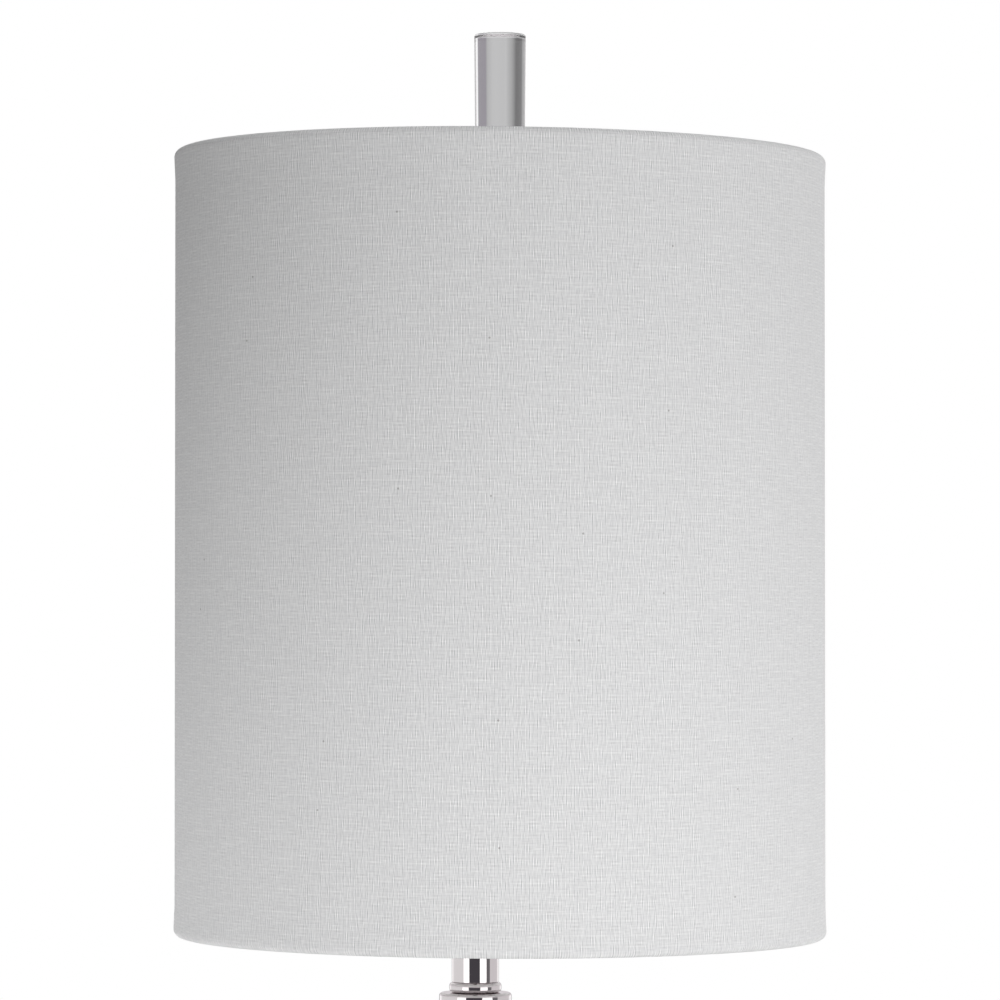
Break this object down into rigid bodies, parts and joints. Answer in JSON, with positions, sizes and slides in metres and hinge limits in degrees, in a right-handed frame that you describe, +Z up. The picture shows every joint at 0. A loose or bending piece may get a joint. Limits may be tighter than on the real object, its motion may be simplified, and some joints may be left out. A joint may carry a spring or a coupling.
{
  "type": "buffet lamp",
  "caption": "Tall slim table lamp with a straight drum shade in white linen, a clear crystal rod finial, a polished nickel column and a round stepped base.",
  "frame": {"origin": "middle of the felt pad's underside, on the column's axis, where the lamp meets the table", "axes": "+Z up the column, -Y to the front, where the switch is, +X to the lamp's right as seen from the front"},
  "size_m": [0.254, 0.254, 0.8636],
  "materials": {
    "polished_nickel": "polished nickel plate",
    "nickel_wire": "bright nickel plate on steel wire and strip",
    "nickel_shell": "nickel plate on thin spun metal",
    "clear_crystal": "clear cut and polished crystal",
    "white_linen": "plain woven white linen",
    "styrene": "white translucent sheet",
    "turned_brass": "bright brass",
    "zinc_steel": "zinc plated steel",
    "black_phenolic": "moulded black phenolic",
    "black_nylon": "moulded black nylon",
    "fibre_board": "pressed fibre board",
    "cast_iron": "rough cast iron",
    "black_felt": "pressed felt",
    "bulb_metal": "rolled thin metal",
    "white_plastic": "moulded white plastic",
    "opal_plastic": "frosted opal plastic"
  },
  "bodies": {
    "lamp": {"felt_pad": "black_felt", "base_cover": "fibre_board", "base_weight": "cast_iron", "base_shell": "polished_nickel", "cord_bushing": "black_nylon", "threaded_pipe": "zinc_steel", "base_lock_washer": "zinc_steel", "base_nut": "zinc_steel", "lower_ring": "polished_nickel", "lower_collar": "polished_nickel", "column_tube": "polished_nickel", "upper_collar": "polished_nickel", "neck_ring": "polished_nickel", "neck_tube": "polished_nickel", "neck_cap": "polished_nickel", "harp_saddle": "nickel_wire", "harp_wire": "nickel_wire", "harp_stud": "nickel_wire", "socket_cap": "nickel_shell", "socket_set_screw": "zinc_steel", "socket_shell": "nickel_shell", "socket_liner": "fibre_board", "socket_body": "black_phenolic", "terminal_screws": "turned_brass", "screw_shell": "turned_brass", "center_contact": "turned_brass"},
    "harp_sleeve_left": {"harp_sleeve_left": "nickel_wire"},
    "harp_sleeve_right": {"harp_sleeve_right": "nickel_wire"},
    "shade": {"shade_fabric": "white_linen", "shade_liner": "styrene", "shade_top_ring": "nickel_wire", "shade_bottom_ring": "nickel_wire", "spider_washer": "nickel_wire", "spider_arms": "nickel_wire"},
    "finial_bush": {"finial_insert": "turned_brass"},
    "finial": {"finial_base": "polished_nickel", "finial_crystal": "clear_crystal"},
    "switch": {"switch_shaft": "turned_brass", "switch_knob": "black_phenolic"},
    "bulb_tip": {"bulb_contact": "bulb_metal"},
    "bulb": {"bulb_cap": "bulb_metal", "bulb_body": "white_plastic", "bulb_dome": "opal_plastic"}
  },
  "joints": [
    {"name": "sleeve_left_lift", "type": "slide", "parent": "lamp", "child": "harp_sleeve_left", "axis": [0, 0, 1], "range_m": [0, 0.017]},
    {"name": "sleeve_right_lift", "type": "slide", "parent": "lamp", "child": "harp_sleeve_right", "axis": [0, 0, 1], "range_m": [0, 0.017]},
    {"name": "shade_turn", "type": "hinge", "parent": "lamp", "child": "shade", "pos_m": [0.0096, 0, 0.8074], "axis": [0, 0, 1], "continuous": true},
    {"name": "finial_rise", "type": "slide", "parent": "lamp", "child": "finial_bush", "axis": [0, 0, 1], "range_m": [0, 0.0075]},
    {"name": "finial_turn", "type": "hinge", "parent": "finial_bush", "child": "finial", "pos_m": [0.0096, 0, 0.8168], "axis": [0, 0, 1], "range_deg": [0, 2880]},
    {"name": "switch_turn", "type": "hinge", "parent": "lamp", "child": "switch", "pos_m": [0, -0.02, 0.5574], "axis": [0, -1, 0], "continuous": true},
    {"name": "bulb_rise", "type": "slide", "parent": "lamp", "child": "bulb_tip", "axis": [0, 0, 1], "range_m": [0, 0.0145]},
    {"name": "bulb_turn", "type": "hinge", "parent": "bulb_tip", "child": "bulb", "pos_m": [0, 0, 0.6018], "axis": [0, 0, 1], "range_deg": [0, 1440]}
  ],
  "couplings": [
    {"joint": "finial_turn", "follows": "finial_rise", "rad_per_m": 6679},
    {"joint": "bulb_turn", "follows": "bulb_rise", "rad_per_m": 1731.6}
  ]
}
